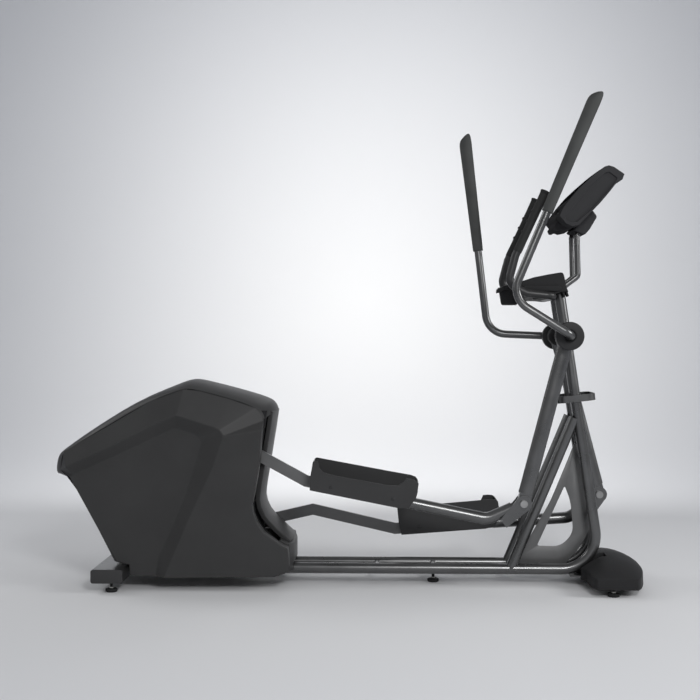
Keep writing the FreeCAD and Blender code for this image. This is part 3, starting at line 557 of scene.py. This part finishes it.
def makeSlotShadeSheets():
    # dark sheets behind the arm slots: painted shade, standing in for the dark inside of the housing
    pieces = []
    for side, sign in sides:
        line = [(-262, 622), (-272, 560), (-290, 440), (-306, 330), (-310, 290), (-304, 255),
                (-280, 212), (-222, 160)]
        low, high = sorted((sign * 111, sign * 151))
        back = [(x - 22, z) for x, z in line]
        shadeSheet = slab("shadeSheet", line + back[::-1], low, high)
        run = line[1:-1] + [(-214, 150)]
        inside = [(x + 8, z) for x, z in run] + [(x - 40, z) for x, z in run][::-1]
        lip = slab("mouth", inside, *sorted((sign * 116, sign * 146)))
        carve(shadeSheet, lip)
        pieces.append(shadeSheet)
    obj = joinAll(pieces[0], pieces[1:])
    shadeByAngle(obj)
    return finishPiece(obj, "slot_shade_sheets", rubberFoot, "frame", "belt_rubber")


for side, sign in sides:
    makeSideShell(side, sign)
makeCentreCover()
makeSlotShadeSheets()
print("housing ready")

# pedal trays, in the frame of their own arm
pedal = {"plane": 150, "half": 65, "wall": 4, "floor": -37, "under": -42, "ribs": 17}


def makePedal(side, sign):
    p = pedal
    low = sign * p["plane"] - p["half"]
    high = sign * p["plane"] + p["half"]
    tall = [(-736, -77), (-742, -30), (-742, 20), (-737, 25), (-722, 25), (-600, 24), (-470, 23),
            (-400, 23), (-382, 20), (-373, 12), (-371, -20), (-374, -48), (-383, -50), (-386, -66),
            (-392, -77), (-428, -83)]
    body = slab("pedal", tall, low, high)
    # hollowed from above and below, with a low outer side and room for the bar
    top = slab("top", [(-737, p["floor"]), (-378, p["floor"]), (-377, 40), (-738, 40)], low + p["wall"],
               high - p["wall"])
    carve(body, top)
    under = slab("under", [(-732, -100), (-733, p["under"]), (-379, p["under"]), (-380, -55),
                           (-395, -100)],
                 low + p["wall"], high - p["wall"])
    carve(body, under)
    dip = [(-726, 40), (-724, 22), (-716, 4), (-700, -8), (-660, -12), (-470, -12), (-440, -6), (-426, 6),
           (-418, 20), (-416, 40)]
    edge = sign * (p["plane"] + p["half"])
    lowCut = slab("dip", dip, *sorted((edge + sign * 5, edge - sign * 12)))
    carve(body, lowCut)
    barCut = slab("bar", [(-760, -37), (-700, -37), (-700, -90), (-760, -90)],
                  *sorted((sign * 122, sign * 138)))
    carve(body, barCut)
    cleanNormals(body)
    roundEdges(body, 1.4, 2, 35)
    extras = []  # tread ribs across the floor
    bpy.ops.mesh.primitive_cube_add(size=1)
    rib = bpy.context.object
    rib.scale = (5 * mm, 104 * mm, 2 * mm)
    bpy.ops.object.transform_apply(location=False, rotation=False, scale=True)
    roundEdges(rib, 0.8, 2)
    for k in range(p["ribs"]):
        copy = rib.copy()
        copy.data = rib.data.copy()
        bpy.context.collection.objects.link(copy)
        moveMesh(copy, Matrix.Translation(Vector((-716 + k * 20, sign * p["plane"],
                                                  p["floor"] + 0.6)) * mm))
        extras.append(copy)
    bpy.data.objects.remove(rib, do_unlink=True)
    joinAll(body, extras)
    moveMesh(body, armPlace(side))
    crispFacets(body)
    finishPiece(body, side + "_foot_tray", plasticPedal, side + "_pedal_arm", "pedal_plastic",
                side + "_pedal_tray")
    screws = []
    inner = sign * (p["plane"] - p["half"])
    for x, z in ((-666, -53), (-450, -56)):
        for face, out in ((edge, sign), (inner, -sign)):
            screw = turned("screw", [(0, 0), (0, 6), (1.2, 6), (2.2, 4.6), (2.2, 2.2), (1.0, 2.0),
                                     (1.0, 0)],
                           (x, face - out * 0.4, z), (0, out, 0), 24)
            screws.append(screw)
    head = joinAll(screws[0], screws[1:])
    moveMesh(head, armPlace(side))
    shadeByAngle(head)
    finishPiece(head, side + "_pedal_screws", paintBlack, side + "_pedal_arm", "steel")


for side, sign in sides:
    makePedal(side, sign)
print("pedals ready")

# where the foam grip starts on the handle tube, in the frame of its own swing
handle = {"plane": 240, "reach": 245, "rise": 17.3, "lean": 8, "start": 313}


def makeHub(side, sign):
    profile = [(0, 10.1), (0, 30), (3, 34), (52, 34), (54, 42), (56, 47), (58, 49), (84, 49),
               (87, 47.6), (88, 45), (88, 23), (86.5, 20.5), (84, 18), (76, 17), (76, 10.1), (0, 10.1)]
    hub = turned("hub", profile, (0, sign * 102, 0), (0, sign, 0), 64)
    moveMesh(hub, swingPlace(side))
    shadeByAngle(hub, 30)
    return finishPiece(hub, side + "_hub_cover", plasticHub, side + "_swing", "hub_plastic",
                       side + "_pivot_hub")


def makeGrip(side, sign):
    g = handle
    rise = math.radians(180 - g["rise"])
    lean = math.radians(90 - g["lean"])
    way = Vector((math.cos(lean), 0, math.sin(lean)))
    foot = Vector((g["reach"] * math.cos(rise), sign * g["plane"],
                   g["reach"] * math.sin(rise))) + way * g["start"]
    profile = [(0, 14.3), (0, 17.6), (1.2, 18.8), (6, 19), (100, 19.9), (200, 21), (300, 22.2),
               (382, 23.2), (396, 23.4), (408, 23.1), (418, 22), (425, 20), (430, 17), (433, 12),
               (434.5, 6), (435, 0)]
    grip = turned("grip", profile, foot, way, 48)
    front = Vector((way.z, 0, -way.x))
    for vertex in grip.data.vertices:  # the closed end is cut aslant, higher on the front side
        along = (vertex.co / mm - foot).dot(way)
        if along > 340:
            ahead = (vertex.co / mm - foot).dot(front)
            vertex.co += way * mm * (ahead * 0.72 * ((along - 340) / 95) ** 1.5 + (along - 340) * 0.03)
    cleanNormals(grip)
    moveMesh(grip, swingPlace(side))
    shadeByAngle(grip, 45)
    finishPiece(grip, side + "_foam_grip", foamBlack, side + "_swing", "foam_grip", side + "_handle_grip")


for side, sign in sides:
    makeHub(side, sign)
    makeGrip(side, sign)
print("handles ready")

# the middle line of each fixed bar, from the foot to the tip of its sleeve
fixedBar = {"plane": 130, "foot": (606, 1172.9), "tip": (700, 1375)}


def makePulseGrips():
    b = fixedBar
    grips, caps = [], []
    way = Vector((b["tip"][0] - b["foot"][0], 0, b["tip"][1] - b["foot"][1]))
    length = way.length
    way.normalize()
    out = Vector((-way.z, 0, way.x))
    for side, sign in sides:
        foot = Vector((b["foot"][0], sign * b["plane"], b["foot"][1]))
        profile = [(0, 14.1), (0, 14.6), (2, 15.2), (12, 15.3), (40, 14.9), (150, 14.9), (196, 15.2),
                   (length - 3, 15.4), (length - 3, 14.1), (0, 14.1)]
        grips.append(turned("sleeve", profile, foot, way, 40))
        for along in (72, 112, 150):  # finger ridges on the rear side
            bpy.ops.mesh.primitive_uv_sphere_add(segments=20, ring_count=12, radius=1)
            ridge = bpy.context.object
            turn = Vector((0, 0, 1)).rotation_difference(way).to_matrix().to_4x4()
            place = Matrix.Translation((foot + way * along + out * 13.6) * mm)
            moveMesh(ridge, place @ turn @ Matrix.Diagonal((4.5 * mm, 8 * mm, 5.5 * mm, 1)))
            grips.append(ridge)
        profile = [(-3, 14.2), (-3, 15.4), (0, 15.8), (4, 16.8), (7, 17.4), (9.5, 16.4), (10.5, 13),
                   (10.5, 0)]
        caps.append(turned("cap", [(d + length, r) for d, r in profile], foot, way, 40))
    sleeve = joinAll(grips[0], grips[1:])
    shadeByAngle(sleeve, 40)
    finishPiece(sleeve, "pulse_grip_sleeves", rubberGrip, "frame", "grip_rubber", "pulse_grips")
    cap = joinAll(caps[0], caps[1:])
    shadeByAngle(cap, 40)
    finishPiece(cap, "bar_end_caps", plasticTrim, "frame", "cover_plastic", "fixed_bar_caps")


makePulseGrips()
print("fixed bar ready")

# accessory tray: half its width
tray = {"half": 112}


def makeTray():
    t = tray
    side = [(594, 1066), (628, 1074), (669, 1087), (721, 1097), (758, 1103), (767, 1102), (771, 1094),
            (780, 1052), (787, 1034), (781, 1036), (763, 1035), (738, 1026), (722, 1012), (705, 1009),
            (664, 1009), (650, 1031), (627, 1034)]
    body = slab("tray", side, -t["half"], t["half"])
    bowl = slab("bowl", [(645, 1130), (642, 1052), (664, 1040), (700, 1038), (745, 1052), (757, 1130)],
                -102, 102)
    carve(body, bowl)
    cleanNormals(body)
    roundEdges(body, 4, 3, 28)
    parts = []
    for sign in (-1, 1):  # rolled ledges along both sides
        ledge = slab("ledge", [(627, 1058), (748, 1058), (760, 1053), (765, 1046), (758, 1039),
                               (748, 1036), (627, 1036)], *sorted((sign * (t["half"] - 4),
                               sign * (t["half"] + 8))))
        roundEdges(ledge, 5, 4, 40)
        parts.append(ledge)
        for x in (770, 782):  # clip hooks under the front edge
            hook = slab("hook", [(x - 6, 1038), (x + 2, 1036), (x + 7, 1022), (x + 3, 1018),
                                 (x - 1, 1026)],
                        *sorted((sign * 70, sign * 106)))
            roundEdges(hook, 1, 2)
            parts.append(hook)
    shelf = slab("cupShelf", [(640, -74), (600, -74), (566, -58), (548, -30), (545, 0), (548, 30),
                              (566, 58), (600, 74), (640, 74)], 1052, 1066, "Z")
    holeTop = turned("hole", [(0, 0), (0, 37), (60, 37), (60, 0)], (592, 0, 1020), (0, 0, 1), 48)
    carve(shelf, holeTop)
    for vertex in shelf.data.vertices:
        vertex.co.z -= max(0.0, 0.600 - vertex.co.x) ** 2 * 6.5
    cleanNormals(shelf)
    roundEdges(shelf, 3, 3, 30)
    parts.append(shelf)
    cup = turned("cup", [(0, 0), (0, 25), (4, 29), (60, 39), (62, 41), (62, 38), (60, 36.6), (5, 26.5),
                         (3, 0)],
                 (592, 0, 992), (0, 0, 1), 56)
    parts.append(cup)
    joinAll(body, parts)
    crispFacets(body)
    finishPiece(body, "tray_with_cup", plasticTrim, "frame", "cover_plastic", "accessory_tray")


makeTray()
print("tray ready")

# console: half its width and the two ends of its face
console = {"half": 180, "low": (742, 1292), "high": (905, 1459)}


def makeConsole():
    k = console
    along = Vector((k["high"][0] - k["low"][0], 0, k["high"][1] - k["low"][1])).normalized()
    out = Vector((-along.z, 0, along.x))
    outer = [(745, 1294), (757, 1319), (780, 1350), (814, 1389), (846, 1419), (876, 1445), (899, 1461),
             (913, 1465), (930, 1460), (966, 1435), (959, 1416), (942, 1409), (915, 1374), (883, 1336),
             (859, 1311), (812, 1262), (788, 1257), (766, 1268)]
    body = slab("console", outer, -k["half"], k["half"])
    recess = [(767, 1292), (808, 1343), (848, 1394), (901, 1440), (913, 1443), (941, 1423), (938, 1413),
              (912, 1380), (856, 1317), (804, 1271), (776, 1274), (764, 1282)]
    for sign in (-1, 1):
        pocket = slab("pocket", recess, *sorted((sign * (k["half"] + 5), sign * (k["half"] - 7))))
        roundEdges(pocket, 2.5, 2, 40)
        carve(body, pocket)
    cleanNormals(body)
    roundEdges(body, 5, 4, 40)
    low = Vector((k["low"][0], 0, k["low"][1]))
    strip = [low + along * a + out * o for a, o in ((20, 30), (23, 0), (57, 0), (61, 30))]
    carve(body, slab("keyStrip", [(v.x, v.z) for v in strip], -96, 96))
    for across in (-62, 0, 62):  # a raised frame round each key
        frameRing = [low + along * a + out * o for a, o in ((30.4, -1), (30.4, 0.9), (49.6, 0.9),
                                                            (49.6, -1))]
        ring = slab("keyFrame", [(v.x, v.z) for v in frameRing], across - 17, across + 17)
        gap = [low + along * a + out * o for a, o in ((31.6, -5), (31.6, 5), (48.4, 5), (48.4, -5))]
        carve(ring, slab("keyGap", [(v.x, v.z) for v in gap], across - 15.4, across + 15.4))
        joinAll(body, [ring])
    pod = slab("pod", [(852, 1304), (874, 1322), (890, 1299), (864, 1255), (850, 1239), (840, 1236),
                       (806, 1254)],
               -90, 90)
    roundEdges(pod, 6, 4, 35)
    shelf = slab("shelf", [(760, 1303), (749, 1298), (744, 1290), (748, 1279), (738, 1262), (743, 1250),
                           (752, 1249), (760, 1254), (780, 1250), (808, 1262), (792, 1290)], -84, 84)
    roundEdges(shelf, 3, 3, 25)
    joinAll(body, [pod, shelf])
    crispFacets(body)
    finishPiece(body, "console_case", plasticConsole, "frame", "console_plastic", "console_back",
                "console_bezel")
    # the bowed dark window that lies over the face
    rows = []
    face = [(785, 1355), (799, 1372), (814, 1389), (830, 1404), (846, 1419), (861, 1432), (876, 1445),
            (894, 1457)]
    for x, z in face:
        rows.append([(x + out.x * (1.8 - abs(t) ** 2), t * 158, z + out.z * (1.8 - abs(t) ** 2))
                     for t in (-1, -0.97, -0.8, -0.5, 0, 0.5, 0.8, 0.97, 1)])
    glass = loft("glass", rows)
    faceTowards(glass, tuple(out))
    applyModifier(glass, "SOLIDIFY", thickness=3.4 * mm, offset=-1)
    roundEdges(glass, 1.0, 3, 40)
    shadeByAngle(glass, 30)
    finishPiece(glass, "screen_window", screenGloss, "frame", "display_glass", "console_screen")


makeConsole()
print("console ready")

# gusset plate between the masts
gusset = {"thick": 5}


def softened(points, radii):
    # each corner of a closed outline swapped for a short curve
    result = []
    for k, corner in enumerate(points):
        here = Vector(corner)
        before, after = Vector(points[k - 1]) - here, Vector(points[(k + 1) % len(points)]) - here
        reach = min(radii[k], before.length * 0.45, after.length * 0.45)
        start, end = here + before.normalized() * reach, here + after.normalized() * reach
        for j in range(7):
            t = j / 6
            result.append(tuple(start * (1 - t) ** 2 + here * 2 * t * (1 - t) + end * t ** 2))
    return result


def makeGusset():
    g = gusset
    outline = [(640, 45), (775, 45), (840, 120), (880, 187), (898, 270), (868, 400), (858, 480),
               (825, 499), (802, 440), (740, 290), (623, 85)]
    window = [(692, 130), (778, 129), (822, 176), (812, 290), (791, 346)]
    body = slab("gusset", softened(outline, [6, 20, 60, 60, 60, 60, 20, 6, 30, 30, 6]), -g["thick"] / 2,
                g["thick"] / 2)
    cutter = slab("window", softened(window, [10, 44, 60, 60, 10]), -20, 20)
    carve(body, cutter)
    cleanNormals(body)
    roundEdges(body, 0.7, 2, 50)
    shadeByAngle(body, 35)
    finishPiece(body, "gusset_plate", paintPlate, "frame", "plate_paint", "mast_gusset")


makeGusset()
print("gusset ready")

# front cover over the stabiliser
coverPlan = {"rearX": 848, "frontX": 1056, "half": 264, "low": 26, "shoulder": 66, "top": 116}


def makeFrontCover():
    c = coverPlan
    columns, points, faces = 29, [], []
    rises = (0, 0.05, 0.13, 0.24, 0.36, 0.48, 0.6, 0.72, 0.82, 0.9, 0.96, 1)
    for k in range(columns):
        y = c["half"] * math.sin(math.radians(-90 + 180 * k / (columns - 1)))
        side = abs(y) / c["half"]
        rear = c["rearX"] + 4 * side - 20 * max(0.0, 1 - (abs(y) / 112) ** 2) ** 0.5 + 12 * side ** 20
        tip = c["frontX"] - 2 - 50 * side ** 2 - 6 * side ** 20
        crown = (c["top"] - c["shoulder"]) * (1 - side ** 1.7) ** 0.9
        points.append((rear, y, c["low"]))
        for u in rises:
            swell = (math.sin(math.pi * u / 0.88) if u < 0.44
                     else math.cos(math.pi * (u - 0.44) / 1.12) ** 0.7)
            points.append((rear + (tip - rear) * u, y, c["shoulder"] - 3 * side ** 12 + crown * swell))
        points.append((tip + 2, y, c["low"]))
    row = len(rises) + 2
    for k in range(columns - 1):
        for j in range(row):
            a, b = k * row + j, k * row + (j + 1) % row
            faces.append((a, b, b + row, a + row))
    faces.append(list(range(row)))
    faces.append(list(range((columns - 1) * row, columns * row)))
    body = fromFaces("cover", points, faces)
    cleanNormals(body)
    for side, sign in sides:
        arch = slab("arch", [(818, 20), (938, 20), (934, 76), (912, 150), (850, 150), (818, 84)],
                    *sorted((sign * 39, sign * 81)))
        carve(body, arch)
    cleanNormals(body)
    roundEdges(body, 3.5, 4, 38)
    shadeByAngle(body, 50)
    finishPiece(body, "front_cover", plasticTrim, "frame", "cover_plastic", "front_stabiliser_cover")


def makeRearStabiliser():
    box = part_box("rear_stabiliser")
    low = [v / mm for v in box[0]]
    high = [v / mm for v in box[1]]
    section = roundedRect(low[0], low[2], high[0], high[2], 8)
    beam = slab("beam", section, low[1], high[1])
    shadeByAngle(beam, 30)
    finishPiece(beam, "rear_beam", paintTube, "frame", "gunmetal_paint", "rear_stabiliser")
    caps = []
    for side, sign in sides:
        cap = slab("cap", section, *sorted((sign * 236.2, sign * 242)))
        roundEdges(cap, 1.8, 3, 60)
        caps.append(cap)
    cap = joinAll(caps[0], caps[1:])
    shadeByAngle(cap)
    finishPiece(cap, "rear_end_caps", plasticPedal, "frame", "cover_plastic", "rear_stabiliser_caps")


def makeFoot(node):
    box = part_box(node)
    x, y = ((box[0][k] + box[1][k]) / 2 / mm for k in (0, 1))
    top = box[1][2] / mm
    profile = [(0.2, 0), (0.2, 18.5), (1.2, 20.2), (8.6, 20.9), (10.4, 20.2), (11, 18.6), (11, 9),
               (14, 7.5), (14, 5),
               (top, 5), (top, 0)]
    foot = turned("foot", profile, (x, y, 0), (0, 0, 1), 48)
    for vertex in foot.data.vertices:  # finger ribs round the rim
        spot = Vector((vertex.co.x - x * mm, vertex.co.y - y * mm, 0))
        if spot.length > 0.0185 and 0.0005 < vertex.co.z < 0.0105:
            turn = round(math.atan2(spot.y, spot.x) / math.tau * 48)
            vertex.co -= spot.normalized() * (0.0009 if turn % 2 else 0.0)
    shadeByAngle(foot, 28)
    finishPiece(foot, node + "_pad", rubberFoot, node, "foot_rubber", node)
    nut = slab("nut", [(x + 8.6 * math.cos(a),
                        y + 8.6 * math.sin(a)) for a in (k * math.tau / 6 for k in range(6))],
               12, 17, "Z")
    roundEdges(nut, 0.6, 2)
    shadeByAngle(nut)
    finishPiece(nut, node + "_nut", steelZinc, node, "steel")


makeFrontCover()
makeRearStabiliser()
for side, sign in sides:
    for end in ("rear", "front"):
        makeFoot(side + "_" + end + "_foot")
makeFoot("centre_foot")
print("stabilisers ready")

# backdrop colours, a painted falloff of light from a bright middle to darker blue-grey edges, then the
# camera: where it stands, its lens and its slopes to the left and down
studio = {
    "middle": (0.86, 0.86, 0.86, 1), "edge": (0.58, 0.595, 0.635, 1), "sky": (0.97, 0.98, 1.0, 1),
    "skyPower": 0.33,
    "eye": (0.148, -4.311, 0.878), "lens": 61.714, "turn": 35 / 1200, "dip": 13 / 1200,
}
lamps = {  # place, aim, size and power
    "key": ((1.3, -4.4, 2.6), (-0.3, 0, 0.5), 1.0, 92),
    "side": ((4.2, -1.0, 2.2), (0, 0, 0.6), 1.4, 56),
    "left": ((-4.0, -1.2, 2.0), (0, 0, 0.6), 0.7, 4),
    "rim": ((0.6, 2.6, 2.6), (0, 0, 0.8), 1.0, 5),
    "roof": ((-3.0, 0.9, 2.9), (-0.8, 0, 0.5), 1.2, 22),
    "wall": ((0.0, 2.4, 2.6), (0.0, 5.9, 1.5), 3.0, 84),
}


def makeStudio():
    f = Finish("studio floor painted falloff")
    x, y, z = (f.node("ShaderNodeSeparateXYZ", {}, {"Vector": f.place}, axis) for axis in "XYZ")
    # painted light: floor and wall are coloured bright round a point in front of the machine and darker
    # blue-grey further off
    near = f.maths("MINIMUM", y, 0.0) * 1.3
    reach = (x * x + (z - 1.2) * (z - 1.2) + near * near) ** 0.5
    haze = f.noise(0.35, 2) * 0.1
    f.set(color=f.mix(f.ramp(reach + haze, 0.0, 4.4), studio["middle"], studio["edge"]), rough=0.9,
          level=0.05)
    rows = [(-9, 0), (-4, 0), (0, 0), (1.2, 0), (2.2, 0), (2.8, 0), (3.3, 0), (4.2, 0.12), (5.0, 0.5),
            (5.5, 1.2),
            (5.8, 2.4), (5.9, 7.0)]  # a flat floor that sweeps up into the wall
    bpy.ops.mesh.primitive_grid_add(x_subdivisions=2, y_subdivisions=len(rows) - 1, size=1)
    sweep = bpy.context.object
    sweep.name = "studio_sweep"
    spots = [(x, y, z - 0.0006) for y, z in rows for x in (-11, 0, 11)]
    for vertex, spot in zip(sweep.data.vertices, spots):
        vertex.co = spot
    applyModifier(sweep, "SUBSURF", levels=2, render_levels=2)
    bpy.ops.object.shade_smooth()
    sweep.data.materials.append(f.material)
    world = bpy.data.worlds.new("studio")
    world.use_nodes = True
    world.node_tree.nodes["Background"].inputs[0].default_value = studio["sky"]
    world.node_tree.nodes["Background"].inputs[1].default_value = studio["skyPower"]
    bpy.context.scene.world = world
    for name, (spot, aim, size, power) in lamps.items():
        light = bpy.data.lights.new(name, "AREA")
        light.size = size
        light.energy = power
        lamp = bpy.data.objects.new(name, light)
        lamp.location = spot
        lamp.rotation_euler = (Vector(aim) - Vector(spot)).to_track_quat("-Z", "Y").to_euler()
        bpy.context.collection.objects.link(lamp)
    lens = bpy.data.cameras.new("camera")
    lens.lens = studio["lens"]
    lens.sensor_width = 36
    camera = bpy.data.objects.new("camera", lens)
    turn, dip = math.atan(studio["turn"]), math.atan(studio["dip"])
    aim = Vector((-math.sin(turn) * math.cos(dip), math.cos(turn) * math.cos(dip), -math.sin(dip)))
    camera.location = studio["eye"]
    camera.rotation_euler = aim.to_track_quat("-Z", "Y").to_euler()
    bpy.context.collection.objects.link(camera)
    bpy.context.scene.camera = camera
    bpy.context.scene.view_settings.view_transform = "Standard"


makeStudio()
print("studio ready")
